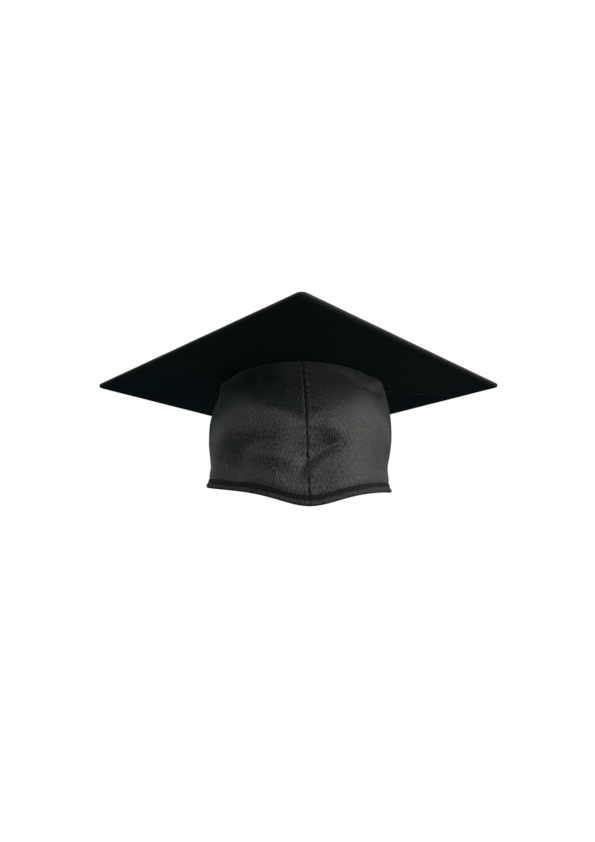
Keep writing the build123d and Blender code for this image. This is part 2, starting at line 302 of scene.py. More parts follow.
def relief(angle, height):
    """How far the cloth stands off the crown's smooth face, in millimetres."""
    angle = around(angle)
    lift = np.zeros(np.broadcast(angle, height).shape)
    for at, size, tilt, depth in DENTS:
        lift = lift + dent(angle, height, at, size, tilt, depth)
    for start, end, width, depth in CREASES:
        lift = lift + crease(angle, height, start, end, width, depth)
    lift = lift + ripple(angle, height)
    lift = lift + seam_relief(angle, height)
    lift = lift + hem_relief(angle, height)
    fade = np.clip((UNDERSIDE - height) / 7, 0, 1)
    return lift * fade * fade * (3 - 2 * fade)


def ripple(angle, height):
    """Faint slack in the cloth everywhere, from a few slow waves."""
    a, z = np.radians(angle), height
    waves = np.sin(5 * a + z / 13) * np.sin(z / 17 - 2 * a) + 0.6 * np.sin(11 * a - z / 7.3 + 1.1)
    return 0.22 * waves + 0.12 * np.sin(17 * a + z / 4.9) * np.sin(z / 9 + 3 * a)


def seam_relief(angle, height):
    """The dip and puckers along each seam."""
    lift = 0
    for k, middle in enumerate((0, SEAM, 180, -SEAM)):
        x = across(angle, middle, height)
        lift = lift - 1.5 * np.exp(-((x / 0.65) ** 2))
        lift = lift + 0.25 * np.exp(-(((np.abs(x) - 2.2) / 1.5) ** 2))
        pucker = np.sin(height / 1.35 + 1.7 * np.sin(height / 9 + k)) * np.sin(height / 5.1 + k)
        lift = lift + 0.3 * pucker * np.exp(-(((np.abs(x) - 2.2) / 2.2) ** 2))
    # The pulls on the wearer's left of the front seam.
    x = across(angle, 0, height)
    for z, strength in ((110, 0.9), (92, 0.9), (74, 0.9), (64, 0.4)):
        reach = np.where(x > 0.5, np.exp(-((x / 7) ** 2)), 0)
        lift = lift + strength * reach * (
            np.exp(-(((height - z) / 1.1) ** 2)) - 0.9 * np.exp(-(((height - z + 2.6) / 1.6) ** 2)))
    return lift


def hem_relief(angle, height):
    """The cloth swells out over the binding or the casing, then dips in to meet it."""
    above = height - hem_height(angle)
    side = np.abs(angle)
    back = 1 / (1 + np.exp(-(side - SEAM) * 1.5))
    edge = BINDING + (CASING - BINDING) * back
    swell = 0.5 * np.exp(-(((above - edge - 4.5) / 3.6) ** 2))
    dip = -0.3 * np.exp(-(((above - edge) / 1.6) ** 2)) * (1 - back)
    tuck = -0.8 * np.exp(-(((above - edge) / 2.0) ** 2)) * back
    return swell + dip + tuck + gathers(angle, above - edge, 14) * back


def ruche(a, above=0):
    """The uneven wave of gathered cloth at the angle a, in radians. It leans as it climbs."""
    slow = np.sin(58 * a + 2.1 * np.sin(7 * a))
    return slow + 0.5 * np.sin(97 * a + 1.4 * np.sin(11 * a) + above / 6)


def gathers(angle, above, reach):
    """Gathers that the back elastic draws up: strong at the casing and gone reach above it."""
    wave = ruche(np.radians(angle), above)
    return 0.75 * wave * np.exp(-(np.maximum(above, 0) / reach) * 1.6)


# ------------------------------------------------------------------------------- crown cloth
def cloth_place(angle, height):
    """Cloth coordinates, in metres, on a grid of points round the crown."""
    along = np.broadcast_to(np.radians(angle) * MEAN_RADIUS, height.shape)
    return np.stack([along, height], axis=-1) * MM


def panel(name, start, end, low_edge, turn_ribs):
    """One of the crown's four panels. turn_ribs is -1 where the weave leans the other way."""
    cols = int(abs(end - start) * 1.5)
    rows = 126
    even = np.linspace(0, 1, cols)
    angle = (start + (end - start) * (even - 0.8 * np.sin(2 * np.pi * even) / (2 * np.pi)))[None, :]
    share = np.linspace(0, 1, rows)[:, None]
    bottom = hem_height(around(angle)) + low_edge
    height = UNDERSIDE - share * (UNDERSIDE - bottom)
    lift = relief(angle, height)
    outer = crown_points(angle, height, lift)
    inner = crown_points(angle, height, lift * 0.92 - PANEL)
    return shell(name, outer, inner, cloth_place(angle * turn_ribs, height))


def band_run(start, end, step=0.7):
    """Even angles from start to end."""
    return np.linspace(start, end, int(abs(end - start) / step) + 1)


def folded(path, thickness):
    """The closed outline of cloth of that thickness folded along a path, and lying inside its bends."""
    path = np.array(path, float)
    run = np.gradient(path, axis=0)
    run /= np.linalg.norm(run, axis=1)[:, None]
    inside = path + np.column_stack([run[:, 1], -run[:, 0]]) * thickness
    return np.concatenate([path, inside[::-1]])


def rolled_band(name, angles, profile, wobble=0.0):
    """A strip round the hem: profile gives the (offset, height above the hem) of its outline."""
    rings, uvs = [], []
    outline = np.array(profile, float)
    girth = np.concatenate([[0], np.cumsum(np.linalg.norm(np.diff(outline, axis=0), axis=1))])
    for angle in angles:
        a = np.radians(angle)
        uneven = 0.5 * math.sin(9 * a) + 0.3 * math.sin(23 * a + 1.3) + 0.2 * math.sin(61 * a)
        swell = 1 + wobble * uneven
        low = hem_height(around(angle))
        follow = relief(angle, low + np.maximum(outline[:, 1], 4.0))
        follow = follow * np.clip(outline[:, 1] / 4, 0.4, 1)
        rings.append(crown_points(angle, low + outline[:, 1], outline[:, 0] * swell + follow))
        uvs.append(cloth_place(angle, girth))
    return tube(name, np.array(rings), np.array(uvs))


def smooth_path(points, per_side=5):
    """A rounded open path through a few points."""
    points = np.array(points, float)
    points = np.concatenate([points[:1], points, points[-1:]])
    out = []
    for i in range(len(points) - 3):
        p0, p1, p2, p3 = points[i:i + 4]
        for t in np.linspace(0, 1, per_side, endpoint=False):
            out.append(0.5 * ((2 * p1) + (p2 - p0) * t + (2 * p0 - 5 * p1 + 4 * p2 - p3) * t * t
                              + (3 * p1 - p0 - 3 * p2 + p3) * t**3))
    out.append(points[-1])
    return np.array(out)


def hem_binding():
    """The strip folded round the front hem: flat above, with a roll along its lower edge."""
    path = smooth_path([
        (0.05, 7.5), (0.42, 6.9), (0.45, 5.4), (0.40, 4.0), (0.62, 3.3), (1.05, 2.3),
        (0.95, 0.9), (0.1, 0.0), (-1.2, 0.2), (-2.2, 1.6), (-2.2, 5.0), (-1.8, 7.2),
    ])
    ends = SEAM + 0.4
    return rolled_band("hem_binding", band_run(-ends, ends), folded(path, 0.4), wobble=0.10)


def elastic_casing():
    """The gathered tube round the back: cloth ruched on its elastic."""
    start, end = SEAM + 0.15, 360 - SEAM - 0.15
    angles = np.linspace(start, end, 470)
    path = smooth_path([
        (-0.6, CASING), (0.8, CASING - 1.4), (1.2, CASING / 2), (0.9, 1.6), (-0.6, 0.0),
        (-2.2, 1.4), (-2.6, CASING / 2), (-2.2, CASING - 1.4), (-0.8, CASING - 0.1),
    ], 6)
    outline = folded(path, 0.45)
    rings, uvs = [], []
    for angle in angles:
        a = np.radians(around(angle))
        inset = min(angle - start, end - angle)
        calm = 1 - math.exp(-inset / 2.2)
        fine = math.sin(151 * a + 2.0 * math.sin(17 * a))
        pinch = np.sin(np.pi * outline[:, 1] / CASING)
        lift = calm * (0.55 * ruche(a) + 0.3 * fine) * (0.45 + 0.55 * np.abs(pinch - 0.35))
        shift = calm * 0.5 * math.sin(40 * a + 1.5 * math.sin(9 * a))
        out = np.sign(outline[:, 0] + 0.6)
        height = hem_height(around(angle)) + outline[:, 1] + shift
        rings.append(crown_points(angle, height, outline[:, 0] + lift * out))
        uvs.append(cloth_place(around(angle), outline[:, 1]))
    return tube("elastic_casing_cloth", np.array(rings), np.array(uvs))


def strip(name, angles, low, high, offset, thick, rows=10, lift=None):
    """A thin band against the crown's inside, between two heights."""
    angle = np.asarray(angles, float)[None, :]
    share = np.linspace(0, 1, rows)[:, None]
    bottom, top = low(angle), high(angle)
    height = top + share * (bottom - top)
    follow = relief(angle, height) * 0.92
    wave = 0 if lift is None else lift(angle, height)
    outer = crown_points(angle, height, follow + offset + wave)
    inner = crown_points(angle, height, follow + offset - thick + wave)
    return shell(name, outer, inner, cloth_place(angle, height))


def over_hem(rise):
    """The height that lies rise above the hem, at any angle."""
    return lambda angle: hem_height(around(angle)) + rise


def flat_at(height):
    """The same height at every angle."""
    return lambda angle: np.full(np.shape(angle), float(height))


def tape(name, middle, low):
    """A seam's tape, 10 mm wide, up the crown's inside."""
    half = math.degrees(5.0 / MEAN_RADIUS)
    angles = np.linspace(middle - half, middle + half, 12)
    ridge = lambda angle, height: 0.12 * np.cos(across(angle, middle, height) * 1.9)
    return strip(name, angles, low, flat_at(UNDERSIDE - 2.6), -PANEL - 0.15, 0.5, rows=90, lift=ridge)


def sweatband():
    """The band inside the front: slack at its top, with a line of stitching in it."""
    def wave(angle, height):
        a = np.radians(angle)
        above = height - hem_height(around(angle))
        slack = 0.5 * np.sin(21 * a + 1.2 * np.sin(5 * a)) * np.clip((above - 8) / 22, 0, 1)
        return slack - 0.5 * np.exp(-(((above - 28) / 1.6) ** 2))
    return strip("sweatband_cloth", np.linspace(-SEAM + 5, SEAM - 5, 200), over_hem(6.5), over_hem(30),
                 -PANEL - 0.9, 0.6, rows=26, lift=wave)


def tip():
    """The round cloth that closes the crown's top, slightly slack."""
    radius = TOP_RADIUS - PANEL - 0.4
    rings, around_count = 34, 120
    r = np.linspace(0.4, radius, rings)[:, None]
    turn = np.linspace(0, 2 * math.pi, around_count, endpoint=False)[None, :]
    sag = 1.5 * (1 - (r / radius) ** 2) * (1 + 0.3 * np.sin(3 * turn + 0.7))
    sag = sag + 0.12 * np.sin(r / 3 + 2 * turn)
    z = UNDERSIDE - 0.7 - sag * np.clip((radius - r) / 8, 0, 1)
    x, y = r * np.cos(turn), r * np.sin(turn)
    low = np.stack([x, y, z - 0.6 + 0 * x], axis=-1)
    high = np.stack([x, y, z + 0 * x], axis=-1)
    verts = np.concatenate([low.reshape(-1, 3), high.reshape(-1, 3)])
    count = rings * around_count
    faces = grid_faces(rings, around_count, wrap=True)
    faces += grid_faces(rings, around_count, count, wrap=True)
    for j in range(around_count):
        k = (j + 1) % around_count
        last = (rings - 1) * around_count
        faces.append((last + j, last + k, count + last + k, count + last + j))
    faces.append(tuple(range(around_count)))
    faces.append(tuple(count + j for j in range(around_count - 1, -1, -1)))
    return make_object("crown_tip_cloth", verts, faces, verts[:, :2] * MM)


def label():
    """The blank label, 34 mm wide, inside the middle of the back."""
    half = math.degrees(17.0 / 88)
    curl = lambda angle, height: 0.3 * np.sin(across(angle, 180, height) / 5)
    return strip("care_label_cloth", np.linspace(180 - half, 180 + half, 40), flat_at(69), flat_at(87),
                 -PANEL - 1.5, 0.3, rows=20, lift=curl)


# ------------------------------------------------------------------------------------- board
def rounded_square(count_side, side, corner):
    """Points and outward normals round a square whose corners lie on the axes."""
    half = side / 2 - corner
    points, normals = [], []
    for quarter in range(4):
        turn = math.radians(90 * quarter)
        for k in range(13):
            a = math.radians(-45 + 90 * k / 12) + turn
            corner_centre = ROOT2 * half * np.array([math.cos(turn), math.sin(turn)])
            direction = np.array([math.cos(a), math.sin(a)])
            points.append(corner_centre + corner * direction)
            normals.append(direction)
        a = math.radians(45) + turn
        direction = np.array([math.cos(a), math.sin(a)])
        start = points[-1]
        following = ROOT2 * half * np.array([-math.sin(turn), math.cos(turn)])
        following = following + corner * direction
        for k in range(1, count_side):
            points.append(start + (following - start) * k / count_side)
            normals.append(direction)
    return np.array(points), np.array(normals)


def edge_profile(shrink):
    """The cover's section round the board's edge and under it, as (inset, height)."""
    top_bend, low_bend = 1.0, 0.8
    section = []
    for a in np.linspace(0, math.pi / 2, 7):
        section.append((top_bend - (top_bend - shrink) * math.sin(a),
                        BOARD_THICK - top_bend + (top_bend - shrink) * math.cos(a)))
    for a in np.linspace(0, math.pi / 2, 7):
        section.append((low_bend - (low_bend - shrink) * math.cos(a),
                        low_bend - (low_bend - shrink) * math.sin(a)))
    return section + [(1.8, shrink), (2.8, shrink + 0.05)]


def board_top_cloth():
    """Cloth over the top of the board, round its edges and a little way under."""
    edge, normal = rounded_square(64, BOARD_SIDE, BOARD_CORNER)
    rings = []
    for shrink in (0, COVER):
        flat_edge = edge - normal * 1.0
        layer = []
        for share in np.linspace(0.03, 0.99, 40):
            flat = flat_edge * share
            z = UNDERSIDE + BOARD_THICK - shrink + board_relief(flat[:, 0], flat[:, 1])
            layer.append(np.column_stack([flat, z]))
        for inset, rise in edge_profile(shrink):
            flat = edge - normal * inset
            layer.append(np.column_stack([flat, UNDERSIDE + rise + edge_relief(edge)]))
        rings += layer if shrink == 0 else layer[::-1]
    rings = np.array(rings + rings[:1])
    rows, cols = rings.shape[:2]
    return make_object("board_top_cloth", rings.reshape(-1, 3), grid_faces(rows, cols, wrap=True),
                       rings[:, :, :2].reshape(-1, 2) * MM)


def board_relief(x, y):
    """The cloth's slight unevenness over the board."""
    u, v = (x + y) / ROOT2, (y - x) / ROOT2
    reach = np.maximum(np.abs(u), np.abs(v)) / (BOARD_SIDE / 2)
    slack = 0.10 * np.sin(u / 21 + 0.4) * np.sin(v / 27 + 1.0) + 0.05 * np.sin(u / 9 - v / 14)
    return slack * np.clip(1.15 - reach, 0, 1)


def edge_relief(edge):
    """The slight waviness of the board's edge."""
    return 0.07 * np.sin(edge[:, 0] / 11.0) * np.sin(edge[:, 1] / 13.0 + 0.6)


def flap_line(x):
    """The bowed line of the back under-cloth's folded edge: how far behind the middle it lies."""
    return np.interp(np.abs(x), [0, 30, 62, 92, 122, 150, 170], [4, 4.8, 7, 11, 16, 18.4, 19.0])


def board_reach(x, side, corner):
    """Half of the board's extent along Y at x, for a square with rounded corners on the axes."""
    x = abs(x)
    tip = side / ROOT2
    centre = tip - corner * ROOT2
    if x > tip - corner / ROOT2:
        return math.sqrt(max(corner**2 - (x - centre) ** 2, 0))
    if x < corner / ROOT2:
        return centre + math.sqrt(corner**2 - x**2)
    return tip - x


def under_sheet(name, front):
    """One of the two cloths under the board. The back one ends in a fold that laps the front one."""
    inset, overlap = 1.1, 9
    rows, cols = 70, 301
    side, corner = BOARD_SIDE - 2 * inset, BOARD_CORNER - inset
    limit = side / ROOT2 - (ROOT2 - 1) * corner - 0.02
    if not front:
        limit -= 19.5
    even = np.linspace(-1, 1, cols)
    xs = limit * (0.35 * np.sin(even * math.pi / 2) + 0.65 * even)
    grid = np.zeros((rows, cols, 3))
    share = np.linspace(0, 1, rows) ** (1.0 if front else 1.7)
    for j, x in enumerate(xs):
        far = board_reach(x, side, corner)
        line = min(flap_line(x), far - 0.05)
        low, high = (-far, min(line + overlap, far)) if front else (line, far)
        y = low + (high - low) * share
        rim = (far - np.abs(y)) / 0.8
        z = UNDERSIDE - 0.30 - np.abs(board_relief(x, y)) * 1.4 + 0.25 * np.exp(-rim)
        if not front:
            off_line = y - line
            lap = np.clip((far - np.abs(y)) / 16, 0, 1) * (0.65 + 0.35 * math.tanh(x / 20))
            droop = 1.1 + 0.08 * math.sin(x / 6.5 + math.sin(x / 19) * 2)
            lip = np.clip(0.6 + off_line / 0.8, 0, 1)
            z = z - lap * droop * np.exp(-((off_line / 9) ** 2)) * lip
        grid[:, j] = np.column_stack([np.full(rows, x), y, z])
    return shell(name, grid, grid + np.array([0, 0, COVER]), grid[:, :, :2] * MM)


# ------------------------------------------------------------------------------------ button
def lathe(name, profile, steps=72, wave=None):
    """A closed turned solid from an outline of (radius, height), both ends on the axis."""
    outline = np.array(profile, float)
    rings = []
    for radius, z in outline[1:-1]:
        turn = np.linspace(0, 2 * math.pi, steps, endpoint=False)
        r = radius + (0 if wave is None else wave(turn, z))
        rings.append(np.column_stack([r * np.cos(turn), r * np.sin(turn), np.full(steps, z)]))
    verts = np.concatenate(rings + [[[0, 0, outline[0, 1]]], [[0, 0, outline[-1, 1]]]])
    rows = len(rings)
    faces = grid_faces(rows, steps, wrap=True)
    first, last = rows * steps, rows * steps + 1
    for j in range(steps):
        k = (j + 1) % steps
        faces.append((first, k, j))
        faces.append((last, (rows - 1) * steps + j, (rows - 1) * steps + k))
    return make_object(name, verts, faces, verts[:, :2] * MM)


def button_cover():
    """The button's cloth, pulled over a dome and gathered in under its rim."""
    low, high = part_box("button_cloth")
    bottom, crest = low.z / MM, high.z / MM
    radius = high.x / MM
    dome_rise, thick = 3.2, 0.45
    rim = crest - dome_rise
    outline = [(0, crest)]
    for k in range(1, 15):
        a = math.radians(90 * k / 15)
        outline.append((radius * math.sin(a) ** 0.95, rim + dome_rise * math.cos(a) ** 0.9))
    outline += [(radius, rim - 0.3), (radius, rim - 1.2)]
    turned_in = ((0.1, 0.8), (0.5, 0.25), (1.1, 0), (1.9, 0.1), (2.0, 0.4), (1.2, 0.55), (0.6, 1.2))
    outline += [(radius - inset, bottom + rise) for inset, rise in turned_in]
    outline.append((radius - 0.5, rim))
    for k in range(1, 8):
        a = math.radians(90 * k / 8)
        outline.append(((radius - 0.5) * math.cos(a), rim + (dome_rise - thick) * math.sin(a)))
    outline.append((0, crest - thick))

    def pleats(turn, z):
        under = math.exp(-(((z - bottom) / 1.0) ** 2))
        return 0.16 * under * np.sin(28 * turn + np.sin(5 * turn))
    return lathe("button_cover", outline, wave=pleats)


# --------------------------------------------------------------------------------- materials
WAVE_BAND = 2 * math.pi / 20    # scale of the Wave texture whose bands are one metre apart


def node_tree(name):
    """A new material, with its tree and its shader."""
    material = bpy.data.materials.new(name)
    material.use_nodes = True
    tree = material.node_tree
    return material, tree, tree.nodes["Principled BSDF"]


def add(tree, kind, inputs=None, **settings):
    """A node with its input values and its settings."""
    node = tree.nodes.new(kind)
    for key, value in settings.items():
        setattr(node, key, value)
    for key, value in (inputs or {}).items():
        node.inputs[key].default_value = value
    return node


def math_node(tree, operation, a, b):
    """The result of a sum on two numbers or outputs."""
    node = tree.nodes.new("ShaderNodeMath")
    node.operation = operation
    for socket, value in zip(node.inputs, (a, b)):
        if isinstance(value, (int, float)):
            socket.default_value = value
        else:
            tree.links.new(value, socket)
    return node.outputs[0]


def plus(tree, a, b):
    return math_node(tree, "ADD", a, b)


def times(tree, a, b):
    return math_node(tree, "MULTIPLY", a, b)


def ribs(tree, coords, degrees, period, distortion=0.0):
    """Parallel ribs, as a height from 0 to 1. period is in millimetres."""
    turn = add(tree, "ShaderNodeMapping", {"Rotation": (0, 0, math.radians(degrees))})
    tree.links.new(coords, turn.inputs["Vector"])
    wave = add(tree, "ShaderNodeTexWave", {
        "Scale": WAVE_BAND / (period * MM), "Distortion": distortion, "Detail": 1.0,
        "Detail Scale": 0.35})
    tree.links.new(turn.outputs[0], wave.inputs["Vector"])
    return wave.outputs["Fac"]


def noise(tree, coords, period, detail=3.0, rough=0.5):
    """Noise, as a factor from 0 to 1. period is in millimetres."""
    node = add(tree, "ShaderNodeTexNoise", {
        "Scale": 1 / (period * MM), "Detail": detail, "Roughness": rough})
    tree.links.new(coords, node.inputs["Vector"])
    return node.outputs["Fac"]


def ramp(tree, factor, stops):
    """A colour from a factor, through stops of (position, colour)."""
    node = tree.nodes.new("ShaderNodeValToRGB")
    node.color_ramp.elements[0].position = stops[0][0]
    node.color_ramp.elements[0].color = (*stops[0][1], 1)
    node.color_ramp.elements[1].position = stops[-1][0]
    node.color_ramp.elements[1].color = (*stops[-1][1], 1)
    for position, colour in stops[1:-1]:
        node.color_ramp.elements.new(position).color = (*colour, 1)
    tree.links.new(factor, node.inputs["Fac"])
    return node.outputs["Color"]


def shade(colour, factor):
    """A colour made darker or lighter."""
    return tuple(c * factor for c in colour)


def rough_by(tree, shader, factor, middle, spread):
    """Roughness that varies with factor by spread to either side of middle."""
    rough = plus(tree, times(tree, factor, spread * 2), middle - spread)
    tree.links.new(rough, shader.inputs["Roughness"])


def bump_by(tree, shader, height, strength, depth):
    """Bump from a height. depth is in millimetres."""
    node = add(tree, "ShaderNodeBump", {"Strength": strength, "Distance": depth * MM})
    tree.links.new(height, node.inputs["Height"])
    tree.links.new(node.outputs[0], shader.inputs["Normal"])


def cloth(name, colour, rib=0.9, lean=62, cross=0.55, bump=0.12, roughness=0.62, sheen=0.25,
          contrast=0.45, mottle=0.16, specular=0.35, grain=0.35, uv=True, edge=None):
    """A woven cloth: leaning ribs crossed by finer yarns, uneven in shade. edge paints shade, for a
    shadowed groove, over the first few millimetres of the cloth's own width, as (width, shade)."""
    material, tree, shader = node_tree(name)
    coords = tree.nodes.new("ShaderNodeTexCoord")
    place = coords.outputs["UV" if uv else "Object"]
    solid = coords.outputs["Object"]
    main = ribs(tree, place, lean, rib, 0.25)
    fine = ribs(tree, place, lean + 78, cross, 0.4)
    stretch = add(tree, "ShaderNodeMapping", {
        "Rotation": (0, 0, math.radians(lean)), "Scale": (1, 0.65, 1)})
    tree.links.new(place, stretch.inputs["Vector"])
    fibres = noise(tree, stretch.outputs[0], grain, 2.0, 0.6)
    yarns = plus(tree, times(tree, main, 0.36), times(tree, fine, 0.10))
    weave = plus(tree, yarns, times(tree, math_node(tree, "SUBTRACT", fibres, 0.30), 1.5))
    patches = noise(tree, solid, 22, 3.0, 0.55)
    mixed = plus(tree, times(tree, weave, 1 - mottle), times(tree, patches, mottle))
    dark, light = shade(colour, 1 - contrast), shade(colour, 1 + 2.1 * contrast)
    paint = ramp(tree, mixed, [(0.38, dark), (0.5, colour), (0.64, light)])
    # Painted shade along the cloth's top edge, where a groove lies in shadow.
    if edge:
        paint = painted_groove_shade(tree, place, paint, *edge)
    tree.links.new(paint, shader.inputs["Base Color"])
    rough_by(tree, shader, patches, roughness, 0.07)
    slub = noise(tree, solid, 3.2, 3.0, 0.6)
    height = plus(tree, times(tree, weave, bump), times(tree, slub, 0.10))
    bump_by(tree, shader, height, 0.9, 1.0)
    shader.inputs["Specular IOR Level"].default_value = specular
    shader.inputs["Sheen Weight"].default_value = sheen
    shader.inputs["Sheen Roughness"].default_value = 0.45
    return material


def painted_groove_shade(tree, place, paint, width, dark):
    """Paints shade over paint where the cloth's own second coordinate is under width, in millimetres:
    the shadowed groove at the top of the hem's binding. The painted shade narrows a little towards the
    wearer's left."""
    split = tree.nodes.new("ShaderNodeSeparateXYZ")
    tree.links.new(place, split.inputs[0])
    slant = plus(tree, split.outputs["Y"], times(tree, split.outputs["X"], 0.012))
    reach = add(tree, "ShaderNodeMapRange", {
        "From Min": (width - 0.8) * MM, "From Max": (width + 0.8) * MM, "To Min": dark, "To Max": 1.0})
    tree.links.new(slant, reach.inputs["Value"])
    scale = add(tree, "ShaderNodeVectorMath", operation="SCALE")
    tree.links.new(paint, scale.inputs[0])
    tree.links.new(reach.outputs[0], scale.inputs["Scale"])
    return scale.outputs[0]


def metal(name, colour, roughness=0.35, brushed=0.08):
    """Metal with fine lines in its colour, roughness and bump."""
    material, tree, shader = node_tree(name)
    coords = tree.nodes.new("ShaderNodeTexCoord")
    stretch = add(tree, "ShaderNodeMapping", {"Scale": (1, 9, 1)})
    tree.links.new(coords.outputs["Object"], stretch.inputs["Vector"])
    lines = noise(tree, stretch.outputs[0], 1.4, 4.0, 0.6)
    paint = ramp(tree, lines, [(0.3, shade(colour, 0.8)), (0.75, colour)])
    tree.links.new(paint, shader.inputs["Base Color"])
    rough_by(tree, shader, lines, roughness, brushed)
    shader.inputs["Metallic"].default_value = 1.0
    bump_by(tree, shader, lines, 0.3, 0.05)
    return material


def grainy(name, colour, roughness, grain, depth):
    """Moulded plastic, paint or chipboard: a fine grain in colour, roughness and bump."""
    material, tree, shader = node_tree(name)
    coords = tree.nodes.new("ShaderNodeTexCoord")
    specks = noise(tree, coords.outputs["Object"], grain, 5.0, 0.65)
    paint = ramp(tree, specks, [(0.3, shade(colour, 0.7)), (0.55, colour), (0.75, shade(colour, 1.25))])
    tree.links.new(paint, shader.inputs["Base Color"])
    rough_by(tree, shader, specks, roughness, 0.1)
    bump_by(tree, shader, specks, 0.5, depth)
    return material


BLACK = (0.0275, 0.0278, 0.0262)
BOARD_BLACK = (0.026, 0.0265, 0.0262)
MATERIALS = {
    "crown": cloth("crown_twill", BLACK, rib=1.65, lean=14, cross=0.9, bump=0.28, contrast=0.95,
                   grain=1.25, specular=0.65, roughness=0.56, mottle=0.10),
    "board": cloth("board_twill", BOARD_BLACK, rib=0.8, lean=30, bump=0.07, roughness=0.68,
                   contrast=0.4, sheen=0.2),
    # The binding's cloth is painted lighter than the crown's, a painted highlight for the light its
    # lower roll catches. Its upper 4.3 mm is painted shade for the shadowed groove under the crown's
    # swell.
    "binding": cloth("binding_cloth", shade(BLACK, 1.65), rib=1.1, lean=8, bump=0.4, contrast=0.8,
                     grain=1.0, sheen=0.05, specular=0.3, roughness=0.7, edge=(4.3, 0.12)),
    "lining": cloth("tip_cloth", shade(BLACK, 0.8), rib=0.7, lean=0, cross=0.7, bump=0.08),
    "tape": cloth("seam_tape_weave", shade(BLACK, 0.6), rib=1.1, lean=90, cross=0.6, bump=0.14),
    "sweatband": cloth("sweatband_satin", shade(BLACK, 0.8), rib=0.5, lean=90, bump=0.05, roughness=0.42,
                       sheen=0.1, specular=0.5),
    "elastic": cloth("braided_elastic", shade(BLACK, 0.6), rib=1.2, lean=0, cross=0.8, bump=0.18,
                     roughness=0.7),
    "thread": cloth("black_thread", shade(BLACK, 0.55), rib=0.25, lean=40, bump=0.05, roughness=0.5,
                    sheen=0.1, uv=False),
    "label": cloth("label_satin", (0.72, 0.71, 0.67), rib=0.5, lean=90, cross=0.4, bump=0.05,
                   roughness=0.5, contrast=0.08, sheen=0.1),
    "chipboard": grainy("chipboard", (0.28, 0.22, 0.16), 0.85, 1.2, 0.12),
    "washer": grainy("black_paint", (0.02, 0.02, 0.02), 0.45, 0.8, 0.02),
    "plastic": grainy("black_nylon", (0.022, 0.022, 0.022), 0.5, 0.7, 0.03),
    "steel": metal("pressed_steel", (0.55, 0.55, 0.56)),
    "brass": metal("rivet_brass", (0.68, 0.5, 0.2), roughness=0.3),
}


def dress(piece, material, body, stands_for=()):
    """Gives a piece its material and lets it move with its body."""
    piece.data.materials.clear()
    piece.data.materials.append(MATERIALS[material])
    if body == "stretch":
        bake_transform(piece)
    else:
        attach(piece, body)
    if stands_for:
        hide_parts(*stands_for)
    return piece


# ------------------------------------------------------------------------------------ pieces
def build_crown():
    """The four panels. The back two stretch between the cap and the elastic."""
    panels = (
        ("crown_front_left", 0, SEAM, 5.6, -1, "cap"),
        ("crown_front_right", -SEAM, 0, 5.6, 1, "cap"),
        ("crown_back_left", SEAM, 180, CASING - 1.5, -1, "stretch"),
        ("crown_back_right", 180, 360 - SEAM, CASING - 1.5, 1, "stretch"),
    )
    for node, start, end, low, lean, body in panels:
        piece = panel(node + "_cloth", start, end, low, lean)
        dress(piece, "crown", body, [node])


def build_trim():
    """The hem's binding, the casing and elastic, and what is sewn inside."""
    piece = dress(hem_binding(), "binding", "cap", ["hem_band"])
    piece = dress(sweatband(), "sweatband", "cap", ["sweatband"])
    piece = dress(tip(), "lining", "cap", ["crown_tip"])
    piece = dress(elastic_casing(), "crown", "stretch", ["elastic_casing"])
    piece = dress(label(), "label", "stretch", ["care_label"])
    band = strip("back_elastic_band", np.linspace(SEAM + 1.2, 360 - SEAM - 1.2, 160), over_hem(1.2),
                 over_hem(CASING - 1.2), 0.0, 1.1, rows=8)
    dress(band, "elastic", "stretch", ["back_elastic"])
    for seam, middle, rise, body in (("front", 0, 8, "cap"), ("side", SEAM, 15, "stretch"),
                                     ("side", -SEAM, 15, "stretch"), ("back", 180, 15, "stretch")):
        side = {SEAM: "_left", -SEAM: "_right"}.get(middle, "")
        node = f"{seam}_seam_tape{side}"
        dress(tape(node + "_weave", middle, over_hem(rise)), "tape", body, [node])


def stitch_line(name, angles, heights, offset, length=2.4, width=0.4, proud=0.18):
    """Stitches along a line of angles and heights, offset from the crown's smooth face."""
    points = crown_points(angles, heights, offset)
    outward = crown_points(angles, heights, np.asarray(offset) + 1.0) - points
    return stitches(name, points, outward, length, width, proud)


def build_stitches():
    """Stitching along the hem and the front seam, and the tacks at the elastic's ends."""
    angles = band_run(-SEAM + 0.5, SEAM - 0.5, 0.5)
    piece = stitch_line("hem_stitches", angles, hem_height(angles) + 5.9, -0.75)
    dress(piece, "thread", "cap")
    heights = np.linspace(114, 12, 200)
    piece = stitch_line("front_seam_stitches", np.full(200, 0.35), heights, relief(0.35, heights) + 0.1,
                        length=1.7, width=0.32, proud=0.1)
    dress(piece, "thread", "cap")
    for side, sign in (("left", 1), ("right", -1)):
        heights = np.linspace(1.8, CASING - 1.8, 60)
        swing = sign * (SEAM + 3.6) + 0.55 * np.sin(np.linspace(0, 22 * math.pi, 60))
        piece = stitch_line(f"elastic_tack_{side}_stitches", swing, hem_height(swing) + heights, 1.35,
                            length=1.3, width=0.45, proud=0.15)
        dress(piece, "thread", "stretch", [f"elastic_tack_{side}"])


def build_board():
    """The board's three cloths."""
    piece = dress(board_top_cloth(), "board", "cap", ["board_cover_top"])
    for side, front in (("front", True), ("back", False)):
        piece = under_sheet(f"board_under_{side}_cloth", front)
        dress(piece, "board", "cap", [f"board_cover_under_{side}"])


def build_button():
    """The button's cover. Its shell, rivet and back plate are the CAD's own."""
    piece = dress(button_cover(), "board", "button", ["button_cloth"])


def dress_cad():
    """Materials for the CAD nodes that stay in view."""
    for node, material in (("board_core", "chipboard"), ("button_shell", "steel"),
                           ("button_rivet", "brass"), ("button_back_plate", "plastic"),
                           ("button_washer", "washer")):
        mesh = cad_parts[node].data
        mesh.materials.clear()
        mesh.materials.append(MATERIALS[material])


